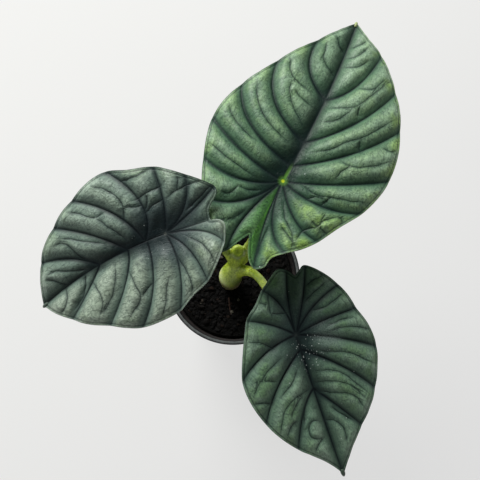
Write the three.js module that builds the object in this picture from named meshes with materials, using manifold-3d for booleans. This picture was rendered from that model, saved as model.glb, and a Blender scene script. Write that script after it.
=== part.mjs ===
// Potted nebula alocasia: a small aroid with three quilted leaves in a round nursery pot.
// Millimetres, +Z up. The origin is the centre of the pot's flat base, and +Y is the rear.
import * as THREE from 'three';
import { mergeVertices } from 'three/addons/utils/BufferGeometryUtils.js';
import Module from 'manifold-3d';

const wasm = await Module();
wasm.setup();
const { Manifold, Mesh } = wasm;

// Clearance and roundness
const GAP = 0.3;            // clearance between pieces that touch
const SEGMENTS = 64;        // sides of the round pot and mix

// Pot
const POT_HEIGHT = 95;
const LIP_RADIUS = 55;
const LIP_HEIGHT = 2.4;
const LIP_CHAMFER = 0.6;
const BAND_RADIUS = 53.6;   // outer radius of the band, just under the lip
const BAND_HEIGHT = 13;
const BAND_LEAN = 0.4;      // how much narrower the band is at its foot
const STEP_RISE = 0.6;      // height of the sloping step between body and band
const SHOULDER_RADIUS = 51.2;
const FOOT_RADIUS = 39;
const FOOT_CHAMFER = 1;
const WALL = 1.4;
const FLOOR = 2.2;
const DRAIN_COUNT = 8;
const DRAIN_RADIUS = 4;
const DRAIN_CIRCLE = 27;
const DRAIN_SIDES = 16;

// Potting mix and stem
const MIX_TOP = 85;
const MIX_REACH = 2;        // the mix is straight up to this far below the band
// Rounded edge of the mix: distance from the wall, depth below the top
const MIX_EDGE = [[-0.2, 1.5], [1.4, 0.4], [6, 0]];
const STEM_HOLE_RADIUS = 6.5;
const STEM_SIDES = 28;
// Level sections of the stem, foot first: x, y, z, radius
const STEM_SECTIONS = [
  [-2.6, -4, 64, 6],
  [-2.6, -4, 87, 6.2],
  [-2.4, -3, 92, 8.2],
  [-2, -0.8, 98, 9.4],
  [-1.4, 1.2, 104, 9.3],
  [0.6, 4.4, 111, 7.9],
  [2.8, 8.2, 118, 6.1],
  [3.8, 11.5, 126, 5.6],
  [4.2, 14, 133, 5.9],
  [4.2, 15.6, 138.5, 5.6],
  [4.2, 16.4, 142, 4.4],
  [4.2, 16.8, 144, 2.4],
];

// Blades
const BLADE = 1.2;          // thickness of a blade
const FOLD = 0.26;          // rise of the two halves beside the midrib, per mm
const WAIST = 4;            // half width of the rounded valley over the midrib
const ARCH = 0.0045;        // fall of the halves towards the margin
const BEND_TIP = 0.0007;    // fall along the midrib towards the tip
const BEND_BACK = 0.0012;   // fall towards the basal lobes
const PILLOW = 4.6;         // height of the quilted fields above the main veins
const PILLOW_REACH = 5;     // distance over which a field rises from its vein
const PILLOW_POWER = 1.4;   // roundness of the valley over a vein
const MARGIN_REACH = 5;     // width of the flatter strip along the margin
const MARGIN_SHARE = 0.4;   // how much of the quilting is left at the margin itself
const ACROSS = 4;           // cells between two neighbouring veins
const ALONG = 10;           // cells from the midrib out to the margin
const MIDRIB_STEPS = 24;    // straight steps that stand for a line where a distance is taken
const VEIN_STEPS = 16;
const KNOT_STEPS = 6;

// Each blade lies in its own plane: x runs from the petiole to the tip, y to the left of it.
// Margin knots go from the tip round to the notch between the basal lobes.
// A vein starts at a share of the midrib, bends through one point and ends on a margin knot.
// A creased blade has one more valley, straight from the petiole to the notch.
const LEAVES = [
  {
    name: 'leaf_1',
    colour: 0x55765f,
    at: [32.1, 48.5, 228],
    bearing: 65.4,
    droop: 7,
    roll: 0,
    tip: [132, 0],
    middle: [66, -2.6],
    notch: [-40, 5],
    left: [
      [116, 10], [103, 18.5], [89, 27.5], [75, 36], [62, 43], [49, 50], [35, 55], [20, 57], [6, 54.5],
      [-7, 50.5], [-19, 46], [-30, 40.5], [-46, 31], [-59, 20.5], [-54, 13], [-46, 8.5],
    ],
    leftVeins: [
      { from: 0.48, via: [79, 15], to: 2 },
      { from: 0.22, via: [46.5, 26], to: 4 },
      { from: 0.085, via: [24, 32], to: 6 },
      { from: 0, via: [5, 28], to: 8 },
      { from: 0, via: [-11.2, 24.5], to: 10 },
      { from: 0, via: [-24, 19], to: 12 },
      { from: 0, via: [-31.5, 11.8], to: 15 },
    ],
    right: [
      [121, -11], [111, -24.5], [100, -33.5], [88, -42.5], [77, -49], [64, -54.5], [47, -59], [29, -60],
      [15, -57.5], [1, -52], [-14, -42.5], [-27, -34.5], [-36, -27], [-42.5, -19], [-48, -13],
      [-54, -11.5], [-57, -6], [-52, 0],
    ],
    rightVeins: [
      { from: 0.48, via: [80, -17], to: 2 },
      { from: 0.22, via: [54, -26], to: 4 },
      { from: 0.085, via: [33, -31], to: 6 },
      { from: 0, via: [10.5, -30.5], to: 8 },
      { from: 0, via: [-6, -27], to: 10 },
      { from: 0, via: [-20, -16], to: 12 },
      { from: 0, via: [-27, -4.6], to: 14 },
      { from: 0, via: [-28.5, -0.6], to: 17 },
    ],
    curls: [[-44, -20, 8, 3.5]],
  },
  {
    name: 'leaf_2',
    colour: 0x45534f,
    at: [-39, 14.9, 233],
    bearing: 207.4,
    droop: 15,
    roll: 0,
    tip: [95.5, 0],
    middle: [47.5, -4],
    notch: [-28.5, 6],
    creased: true,
    left: [
      [88, 9], [79, 17.5], [69, 25.5], [57, 32.5], [47.5, 38.5], [38.5, 43], [26.5, 45], [12.5, 45],
      [1, 41], [-11, 37.5], [-22, 30.5], [-30.5, 22], [-35.5, 13], [-33.5, 8.5],
    ],
    leftVeins: [
      { from: 0.49, via: [60.5, 6], to: 2 },
      { from: 0.27, via: [35.5, 14], to: 4 },
      { from: 0.13, via: [20, 23.5], to: 6 },
      { from: 0, via: [0.8, 22.5], to: 8 },
      { from: 0, via: [-9.5, 16], to: 10 },
      { from: 0, via: [-20.5, 9], to: 12 },
    ],
    right: [
      [90.5, -9], [82, -23.4], [74.5, -31], [63.5, -38.5], [54.5, -43.5], [44.5, -47.5], [31, -51.5],
      [16, -52], [2, -45], [-12.5, -39], [-20.5, -32.5], [-28, -25], [-34.5, -18], [-40, -10.5],
      [-39, -5.5], [-31.5, -0.5],
    ],
    rightVeins: [
      { from: 0.49, via: [62.5, -16.5], to: 2 },
      { from: 0.27, via: [42.5, -22.5], to: 4 },
      { from: 0.14, via: [22.5, -26], to: 6 },
      { from: 0.14, via: [4, -23], to: 8 },
      { from: 0, via: [-9, -18], to: 10 },
      { from: 0, via: [-18.5, -8.5], to: 12 },
      { from: 0, via: [-22, -4.3], to: 14 },
    ],
    curls: [],
  },
  {
    name: 'leaf_3',
    colour: 0x3c4a46,
    at: [40.7, -45.1, 208],
    bearing: 290,
    droop: 9,
    roll: -9,
    tip: [96, 0],
    middle: [48, -0.8],
    notch: [-35, 12],
    left: [
      [88, 5], [78, 12], [69, 21], [60, 29], [50, 37], [38, 42.5], [26, 47], [12, 46.5], [-2, 42.5],
      [-11, 40], [-20, 36.5], [-31, 29], [-39, 20.5], [-37, 15],
    ],
    leftVeins: [
      { from: 0.37, via: [53, 11], to: 3 },
      { from: 0.1, via: [29, 21], to: 5 },
      { from: 0, via: [12, 26], to: 7 },
      { from: 0, via: [-2.5, 20.5], to: 9 },
      { from: 0, via: [-13, 16.5], to: 11 },
      { from: 0, via: [-19, 11.3], to: 13 },
    ],
    right: [
      [90, -3], [81, -9.5], [73, -17], [67, -23], [55, -31.5], [44, -37], [29, -41.5], [14, -42],
      [-3, -36], [-20, -27], [-27, -19], [-34, -11], [-39, -3.5], [-42.5, 3], [-40, 8.5],
    ],
    rightVeins: [
      { from: 0.37, via: [47, -12.5], to: 4 },
      { from: 0.1, via: [24.5, -21.8], to: 6 },
      { from: 0, via: [3, -23], to: 8 },
      { from: 0, via: [-11, -12], to: 10 },
      { from: 0, via: [-20, -2.6], to: 12 },
      { from: 0, via: [-20.5, 2.5], to: 15 },
    ],
    curls: [],
  },
];

// Petioles: cubic curves from the stem that end square under a blade
const PETIOLE_BASE_RADIUS = 3.3;
const PETIOLE_TOP_RADIUS = 2.6;
const PETIOLE_SIDES = 14;
const PETIOLE_STEPS = 22;
const PETIOLES = [
  {
    name: 'petiole_1',
    leaf: 0,
    colour: 0x93a544,
    from: [7, 12, 117],
    pull: [13.5, 21.5, 155],
    reach: 40,
  },
  {
    name: 'petiole_2',
    leaf: 1,
    colour: 0x8b9c40,
    from: [1, 9, 118],
    pull: [-2.5, 23, 146],
    reach: 36,
  },
  {
    name: 'petiole_3',
    leaf: 2,
    colour: 0x93a544,
    from: [2.5, 2, 109],
    pull: [24, 11, 156],
    reach: 38,
  },
];

function material(colour, roughness) {
  return new THREE.MeshStandardMaterial({ color: colour, roughness, metalness: 0 });
}

function named(name, geometry, look) {
  const mesh = new THREE.Mesh(geometry, look);
  mesh.name = name;
  return mesh;
}

function geometryOf(points, faces) {
  const geometry = new THREE.BufferGeometry();
  geometry.setAttribute('position', new THREE.Float32BufferAttribute(points.flat(), 3));
  geometry.setIndex(faces.flat());
  geometry.computeVertexNormals();
  return geometry;
}

// A closed geometry as a solid that can be joined and cut
function solidOf(geometry) {
  const bare = geometry.clone();
  bare.deleteAttribute('normal');
  bare.deleteAttribute('uv');
  const merged = mergeVertices(bare, 1e-4);
  const mesh = new Mesh({
    numProp: 3,
    vertProperties: new Float32Array(merged.attributes.position.array),
    triVerts: new Uint32Array(merged.index.array),
  });
  return new Manifold(mesh);
}

function geometryOfSolid(solid) {
  const mesh = solid.getMesh();
  const geometry = new THREE.BufferGeometry();
  const position = new Float32Array(mesh.vertProperties);
  geometry.setAttribute('position', new THREE.BufferAttribute(position, 3));
  geometry.setIndex(new THREE.BufferAttribute(new Uint32Array(mesh.triVerts), 1));
  geometry.computeVertexNormals();
  return geometry;
}

// Turned solid about +Z from [radius, z] points that begin and end on the axis
function turned(profile, sides) {
  const geometry = new THREE.LatheGeometry(profile.map(([r, z]) => new THREE.Vector2(r, z)), sides);
  return geometry.rotateX(Math.PI / 2);
}

function post(x, y, low, high, radius, sides) {
  const geometry = new THREE.CylinderGeometry(radius, radius, high - low, sides);
  return geometry.rotateX(Math.PI / 2).translate(x, y, (low + high) / 2);
}

// Moves every point of a geometry by a function of its place
function reshape(geometry, move) {
  const position = geometry.attributes.position;
  const point = new THREE.Vector3();
  for (let i = 0; i < position.count; i += 1) {
    point.fromBufferAttribute(position, i);
    position.setXYZ(i, ...move(point).toArray());
  }
  geometry.computeVertexNormals();
  return geometry;
}

// Round stalk along a curve: a tapered cylinder bent along it
function stalk(curve, startRadius, endRadius, extra) {
  const straight = new THREE.CylinderGeometry(
    endRadius + extra,
    startRadius + extra,
    1,
    PETIOLE_SIDES,
    PETIOLE_STEPS,
  );
  const frames = [];
  let side = new THREE.Vector3(1, 0, 0);
  for (let s = 0; s <= PETIOLE_STEPS; s += 1) {
    const centre = curve.getPoint(s / PETIOLE_STEPS);
    const along = curve.getTangent(s / PETIOLE_STEPS);
    side = side.clone().addScaledVector(along, -side.dot(along)).normalize();
    if (s === 0) {
      centre.addScaledVector(along, -extra);
    }
    frames.push({ centre, side, other: side.clone().cross(along) });
  }
  return reshape(straight, (point) => {
    const { centre, side: across, other } = frames[Math.round((point.y + 0.5) * PETIOLE_STEPS)];
    return centre.clone().addScaledVector(across, point.x).addScaledVector(other, point.z);
  });
}

// Plane curves of a blade
function between(a, b, t) {
  return [a[0] + (b[0] - a[0]) * t, a[1] + (b[1] - a[1]) * t];
}

function bow(start, via, end, t) {
  const s = 1 - t;
  return [0, 1].map((k) => {
    const pull = 2 * via[k] - (start[k] + end[k]) / 2;
    return s * s * start[k] + 2 * t * s * pull + t * t * end[k];
  });
}

function marginPoint(knots, at) {
  const last = knots.length - 1;
  const i = Math.min(Math.floor(at), last - 1);
  const t = at - i;
  const b = knots[i];
  const c = knots[i + 1];
  const a = i > 0 ? knots[i - 1] : [2 * b[0] - c[0], 2 * b[1] - c[1]];
  const d = i + 2 <= last ? knots[i + 2] : [2 * c[0] - b[0], 2 * c[1] - b[1]];
  return [0, 1].map((k) => 0.5 * (2 * b[k] + (c[k] - a[k]) * t
    + (2 * a[k] - 5 * b[k] + 4 * c[k] - d[k]) * t * t
    + (3 * b[k] - a[k] - 3 * c[k] + d[k]) * t * t * t));
}

function distanceTo(line, x, y) {
  let best = Infinity;
  for (let i = 0; i + 1 < line.length; i += 1) {
    const [ax, ay] = line[i];
    const dx = line[i + 1][0] - ax;
    const dy = line[i + 1][1] - ay;
    const long = dx * dx + dy * dy;
    const t = long > 0 ? Math.min(1, Math.max(0, ((x - ax) * dx + (y - ay) * dy) / long)) : 0;
    best = Math.min(best, Math.hypot(ax + dx * t - x, ay + dy * t - y));
  }
  return best;
}

function steps(count, make) {
  return Array.from({ length: count + 1 }, (_, i) => make(i / count));
}

// The plane pattern of a blade: both halves, their veins and the fields between them
function patternOf(leaf) {
  const midrib = (m) => bow([0, 0], leaf.middle, leaf.tip, m);
  const halves = [['left', 'leftVeins'], ['right', 'rightVeins']].map(([side, veins]) => {
    const knots = [leaf.tip, ...leaf[side], leaf.notch];
    const ends = [{ from: 1, to: 0 }, ...leaf[veins], { from: 0, to: knots.length - 1 }];
    return { knots, ends };
  });
  const veinLine = (half, index) => {
    const end = half.ends[index];
    const start = midrib(end.from);
    const stop = half.knots[end.to];
    if (!end.via) {
      return (t) => between(start, stop, t);
    }
    return (t) => bow(start, end.via, stop, t);
  };
  const ribs = [steps(MIDRIB_STEPS, midrib)];
  const margin = [];
  for (const half of halves) {
    const last = half.knots.length - 1;
    for (let i = 1; i + 1 < half.ends.length; i += 1) {
      ribs.push(steps(VEIN_STEPS, veinLine(half, i)));
    }
    margin.push(steps(KNOT_STEPS * last, (t) => marginPoint(half.knots, t * last)));
  }
  if (leaf.creased) {
    ribs.push([[0, 0], leaf.notch]);
  }
  return { midrib, halves, veinLine, ribs, margin };
}

// Height of a blade over its plane: fold, arch and bends, quilted fields, curled spots
function formOf(leaf, pattern) {
  return (x, y) => {
    const bend = x > 0 ? BEND_TIP : BEND_BACK;
    let z = FOLD * (Math.sqrt(y * y + WAIST * WAIST) - WAIST) - ARCH * y * y - bend * x * x;
    const rim = Math.min(...pattern.margin.map((line) => distanceTo(line, x, y)));
    let height = PILLOW * (MARGIN_SHARE + (1 - MARGIN_SHARE) * Math.min(1, rim / MARGIN_REACH));
    for (const rib of pattern.ribs) {
      height *= 1 - Math.exp(-((distanceTo(rib, x, y) / PILLOW_REACH) ** PILLOW_POWER));
    }
    z += height;
    for (const [cx, cy, reach, lift] of leaf.curls) {
      z += lift * Math.exp(-(((x - cx) ** 2 + (y - cy) ** 2) / (reach * reach)));
    }
    return z;
  };
}

function frameOf(leaf) {
  const [bearing, droop, roll] = [leaf.bearing, leaf.droop, leaf.roll].map(THREE.MathUtils.degToRad);
  const ahead = new THREE.Vector3(Math.cos(bearing), Math.sin(bearing), 0);
  const left = new THREE.Vector3(-Math.sin(bearing), Math.cos(bearing), 0);
  const up = new THREE.Vector3(0, 0, 1);
  const x = ahead.clone().multiplyScalar(Math.cos(droop)).addScaledVector(up, -Math.sin(droop));
  const lift = ahead.clone().multiplyScalar(Math.sin(droop)).addScaledVector(up, Math.cos(droop));
  const y = left.clone().multiplyScalar(Math.cos(roll)).addScaledVector(lift, Math.sin(roll));
  const z = left.clone().multiplyScalar(-Math.sin(roll)).addScaledVector(lift, Math.cos(roll));
  return { origin: new THREE.Vector3(...leaf.at), x, y, z };
}

function placeIn(frame, x, y, z) {
  const point = frame.origin.clone().addScaledVector(frame.x, x).addScaledVector(frame.y, y);
  return point.addScaledVector(frame.z, z);
}

// One field between two veins. It is ruled from vein to vein, and the curves of the midrib
// and of the margin fade out towards the opposite side.
function fieldPoint(pattern, half, index, u, v) {
  const a = half.ends[index];
  const b = half.ends[index + 1];
  const low = pattern.midrib(a.from + (b.from - a.from) * u);
  const high = marginPoint(half.knots, a.to + (b.to - a.to) * u);
  const first = pattern.veinLine(half, index);
  const second = pattern.veinLine(half, index + 1);
  const ruled = between(first(v), second(v), u);
  const lowChord = between(first(0), second(0), u);
  const highChord = between(first(1), second(1), u);
  const lowShare = (1 - v) ** 2;
  const highShare = v ** 2;
  return [0, 1].map((k) => {
    const nearMidrib = lowShare * (low[k] - lowChord[k]);
    const nearMargin = highShare * (high[k] - highChord[k]);
    return ruled[k] + nearMidrib + nearMargin;
  });
}

// The plane of a blade in triangles that share their corners, all turned the same way
function planeMesh(leaf, pattern) {
  const plane = [];
  const faces = [];
  const seen = new Map();
  const indexOf = (point) => {
    const key = point.map((value) => Math.round(value * 1000)).join();
    if (!seen.has(key)) {
      seen.set(key, plane.push(point) - 1);
    }
    return seen.get(key);
  };
  const addFace = ([p, q, r], flipped) => {
    if (p === q || q === r || r === p) {
      return;
    }
    const [a, b, c] = flipped ? [p, r, q] : [p, q, r];
    const turn = (plane[b][0] - plane[a][0]) * (plane[c][1] - plane[a][1])
      - (plane[b][1] - plane[a][1]) * (plane[c][0] - plane[a][0]);
    if (turn <= 0) {
      throw new Error(`${leaf.name}: a field folds over near ${plane[a]}`);
    }
    faces.push([a, b, c]);
  };
  pattern.halves.forEach((half, side) => {
    for (let field = 0; field + 1 < half.ends.length; field += 1) {
      const corner = (i, j) => indexOf(fieldPoint(pattern, half, field, i / ACROSS, j / ALONG));
      for (let i = 0; i < ACROSS; i += 1) {
        for (let j = 0; j < ALONG; j += 1) {
          const far = corner(i + 1, j + 1);
          addFace([corner(i, j), corner(i + 1, j), far], side === 0);
          addFace([corner(i, j), far, corner(i, j + 1)], side === 0);
        }
      }
    }
  });
  return { plane, faces };
}

// A blade: its upper face, the same face again a thickness below, and a wall round the edge
function bladeOf(leaf) {
  const pattern = patternOf(leaf);
  const form = formOf(leaf, pattern);
  const frame = frameOf(leaf);
  const { plane, faces } = planeMesh(leaf, pattern);
  const count = plane.length;
  const heights = plane.map(([x, y]) => form(x, y));
  const upper = plane.map(([x, y], i) => placeIn(frame, x, y, heights[i]).toArray());
  const lower = plane.map(([x, y], i) => placeIn(frame, x, y, heights[i] - BLADE).toArray());
  const solid = [...faces, ...faces.map(([p, q, r]) => [p + count, r + count, q + count])];
  const edges = new Map();
  for (const face of faces) {
    face.forEach((p, k) => edges.set(`${p},${face[(k + 1) % 3]}`, [p, face[(k + 1) % 3]]));
  }
  for (const [p, q] of edges.values()) {
    if (!edges.has(`${q},${p}`)) {
      solid.push([p, q + count, q], [p, p + count, q + count]);
    }
  }
  return geometryOf([...upper, ...lower], solid);
}

// A petiole rises from the stem and meets its blade square from below
function petioleCurve(petiole) {
  const frame = frameOf(LEAVES[petiole.leaf]);
  const end = placeIn(frame, 0, 0, -BLADE - GAP);
  const under = placeIn(frame, 0, 0, -BLADE - GAP - petiole.reach);
  return new THREE.CubicBezierCurve3(
    new THREE.Vector3(...petiole.from),
    new THREE.Vector3(...petiole.pull),
    under,
    end,
  );
}

function potGeometry() {
  const bandFoot = POT_HEIGHT - BAND_HEIGHT;
  const lipFoot = POT_HEIGHT - LIP_HEIGHT;
  const floorRadius = FOOT_RADIUS + (SHOULDER_RADIUS - FOOT_RADIUS) * (FLOOR / bandFoot) - WALL;
  let pot = solidOf(turned([
    [0, 0],
    [FOOT_RADIUS - FOOT_CHAMFER, 0],
    [FOOT_RADIUS, FOOT_CHAMFER],
    [SHOULDER_RADIUS, bandFoot],
    [BAND_RADIUS - BAND_LEAN, bandFoot + STEP_RISE],
    [BAND_RADIUS, lipFoot],
    [LIP_RADIUS, lipFoot + LIP_CHAMFER],
    [LIP_RADIUS, POT_HEIGHT - LIP_CHAMFER],
    [LIP_RADIUS - LIP_CHAMFER, POT_HEIGHT],
    [BAND_RADIUS - WALL, POT_HEIGHT],
    [BAND_RADIUS - BAND_LEAN - WALL, bandFoot + 2 * STEP_RISE],
    [SHOULDER_RADIUS - WALL, bandFoot - STEP_RISE],
    [floorRadius, FLOOR],
    [0, FLOOR],
  ], SEGMENTS));
  for (let i = 0; i < DRAIN_COUNT; i += 1) {
    const angle = (i / DRAIN_COUNT) * Math.PI * 2;
    const x = DRAIN_CIRCLE * Math.cos(angle);
    const y = DRAIN_CIRCLE * Math.sin(angle);
    pot = pot.subtract(solidOf(post(x, y, -FLOOR, 2 * FLOOR, DRAIN_RADIUS, DRAIN_SIDES)));
  }
  return geometryOfSolid(pot);
}

function mixGeometry() {
  const bandFoot = POT_HEIGHT - BAND_HEIGHT;
  const slope = (SHOULDER_RADIUS - FOOT_RADIUS) / bandFoot;
  const inside = (z) => FOOT_RADIUS + slope * z - WALL - GAP;
  const low = FLOOR + GAP;
  const high = bandFoot - MIX_REACH;
  const body = solidOf(turned([
    [0, low],
    [inside(low), low],
    [inside(high), high],
    ...MIX_EDGE.map(([inward, depth]) => [inside(high) - inward, MIX_TOP - depth]),
    [0, MIX_TOP],
  ], SEGMENTS));
  const [x, y, foot] = STEM_SECTIONS[0];
  const hole = post(x, y, foot - GAP, MIX_TOP + GAP, STEM_HOLE_RADIUS, STEM_SIDES);
  return geometryOfSolid(body.subtract(solidOf(hole)));
}

// Turned from the sections, then leaned to their centres, with a socket for every petiole
function stemGeometry() {
  const first = STEM_SECTIONS[0];
  const last = STEM_SECTIONS.at(-1);
  const profile = [
    [0, first[2]],
    ...STEM_SECTIONS.map(([, , z, radius]) => [radius, z]),
    [0, last[2]],
  ];
  const leaning = reshape(turned(profile, STEM_SIDES), (point) => {
    const section = STEM_SECTIONS.find(([, , z]) => Math.abs(z - point.z) < 1e-3);
    return new THREE.Vector3(point.x + section[0], point.y + section[1], point.z);
  });
  let stem = solidOf(leaning);
  for (const petiole of PETIOLES) {
    const socket = stalk(petioleCurve(petiole), PETIOLE_BASE_RADIUS, PETIOLE_TOP_RADIUS, GAP);
    stem = stem.subtract(solidOf(socket));
  }
  return geometryOfSolid(stem);
}

const plant = new THREE.Group();
plant.name = 'potted_nebula_alocasia';
plant.add(named('nursery_pot', potGeometry(), material(0x16171a, 0.45)));
plant.add(named('potting_mix', mixGeometry(), material(0x17130f, 0.95)));
plant.add(named('stem', stemGeometry(), material(0x7f9433, 0.5)));
for (const petiole of PETIOLES) {
  const form = stalk(petioleCurve(petiole), PETIOLE_BASE_RADIUS, PETIOLE_TOP_RADIUS, 0);
  plant.add(named(petiole.name, form, material(petiole.colour, 0.5)));
}
for (const leaf of LEAVES) {
  plant.add(named(leaf.name, bladeOf(leaf), material(leaf.colour, 0.5)));
}

export default plant;
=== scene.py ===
"""Potted nebula alocasia: three quilted leaves on stalks, a short stem and a round nursery pot.

The numbers of the plant are millimetres, in the frame of the solid model: +Z up, +Y to the rear,
the origin under the middle of the pot. Meshes are written in metres.
"""
import random
from math import cos, exp, hypot, pi, radians, sin
from types import SimpleNamespace

import bmesh
import bpy
import numpy as np
from mathutils import Matrix, Vector, noise


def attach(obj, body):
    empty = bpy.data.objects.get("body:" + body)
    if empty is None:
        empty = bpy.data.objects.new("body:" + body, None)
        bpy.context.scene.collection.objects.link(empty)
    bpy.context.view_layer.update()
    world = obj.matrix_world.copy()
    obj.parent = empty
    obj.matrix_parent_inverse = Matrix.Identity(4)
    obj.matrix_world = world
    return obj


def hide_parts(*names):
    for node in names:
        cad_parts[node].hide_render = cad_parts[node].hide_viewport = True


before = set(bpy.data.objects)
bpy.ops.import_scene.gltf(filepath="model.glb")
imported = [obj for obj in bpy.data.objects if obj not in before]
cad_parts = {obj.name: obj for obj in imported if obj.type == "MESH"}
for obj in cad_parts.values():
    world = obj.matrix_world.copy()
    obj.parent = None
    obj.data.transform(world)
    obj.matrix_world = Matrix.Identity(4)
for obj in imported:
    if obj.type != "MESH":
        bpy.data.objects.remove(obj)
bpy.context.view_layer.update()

MM = 0.001
TURN = 2 * pi

# Pot
POT_HEIGHT = 95
LIP_RADIUS = 55
LIP_HEIGHT = 2.4
LIP_CHAMFER = 0.6
BAND_RADIUS = 53.6
BAND_HEIGHT = 13
BAND_LEAN = 0.4
STEP_RISE = 0.6
SHOULDER_RADIUS = 51.2
FOOT_RADIUS = 39
FOOT_CHAMFER = 1
WALL = 1.4
FLOOR = 2.2
EDGE_ROUND = 0.22
DRAIN_COUNT = 8
DRAIN_RADIUS = 4
DRAIN_CIRCLE = 27
POT_SIDES = 160
BAND_FOOT = POT_HEIGHT - BAND_HEIGHT
FLARE = (SHOULDER_RADIUS - FOOT_RADIUS) / BAND_FOOT

# Potting mix and what lies on it
GAP = 0.3
MIX_TOP = 85
MIX_SIDES = 200
MIX_EDGE = 1.4         # width of the rounded edge along the pot
FIBRE_COUNT = 46
CRUMB_COUNT = 1500
TWIG_LINE = [(-3.4, -16.4), (-2.9, -23.5), (-1.7, -30.8)]

# Stem, with its level sections from the foot: x, y, z, radius
STEM_PLACE = (-2.6, -4)
STEM_HOLE_RADIUS = 6.5
STEM_SECTIONS = [
    (-2.6, -4, 64, 6), (-2.6, -4, 87, 6.2), (-2.4, -3, 92, 8.2), (-2, -0.8, 98, 9.4),
    (-1.4, 1.2, 104, 9.3), (0.6, 4.4, 111, 7.9), (2.8, 8.2, 118, 6.1), (3.8, 11.5, 126, 5.6),
    (4.2, 14, 133, 5.9), (4.2, 15.6, 138.5, 5.6), (4.2, 16.4, 142, 4.4), (4.2, 16.8, 144, 2.4),
]
CUP_PLACE = (4.6, 14.2)
CUP_DEPTH = 2.6
CUP_RADIUS = 3
CUP_FOOT = 132         # nothing below this height is sunk
STEM_CELL = 0.5

# Blades
BLADE = 1.2            # thickness of the solid blade, where its stalk ends
FOLD = 0.26            # rise of the two halves beside the midrib, per millimetre
WAIST = 4              # half width of the rounded valley over the midrib
ARCH = 0.0045          # fall of the halves towards the margin
BEND_TIP = 0.0007      # fall along the midrib towards the tip
BEND_BACK = 0.0012     # fall towards the basal lobes
PILLOW = 4.6           # height of the quilted fields above the main veins
PILLOW_REACH = 5       # distance over which a field rises from its vein
PILLOW_POWER = 1.4     # roundness of the valley over a vein
MARGIN_REACH = 5       # width of the flatter strip along the margin
MARGIN_SHARE = 0.4     # how much of the quilting is left at the margin itself
ACROSS = 24            # cells between two neighbouring veins
ACROSS_TIP = 52        # cells of the long field beside the tip
ALONG = 84             # cells from the midrib out to the margin
SKIN = 0.6             # thickness of the leaf tissue between the veins
RIB_DEPTH = 0.3        # depth of the groove over a main vein
TWIG_DEPTH = 0.42      # depth of the narrow groove over a finer vein
TWIG_VALLEY = 0.85     # depth of the wide valley around it
RIPPLE = 0.35          # height of the uneven swelling of the fields
RIB_REACH = 20         # farthest that a distance to the main veins is measured
SPINE_REACH = 60       # the same for the midrib
RIM_REACH = 12         # the same for the margin
TWIG_REACH = 6         # the same for the finer veins
SEAM = 0.004           # corners of neighbouring fields closer than this are one

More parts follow.
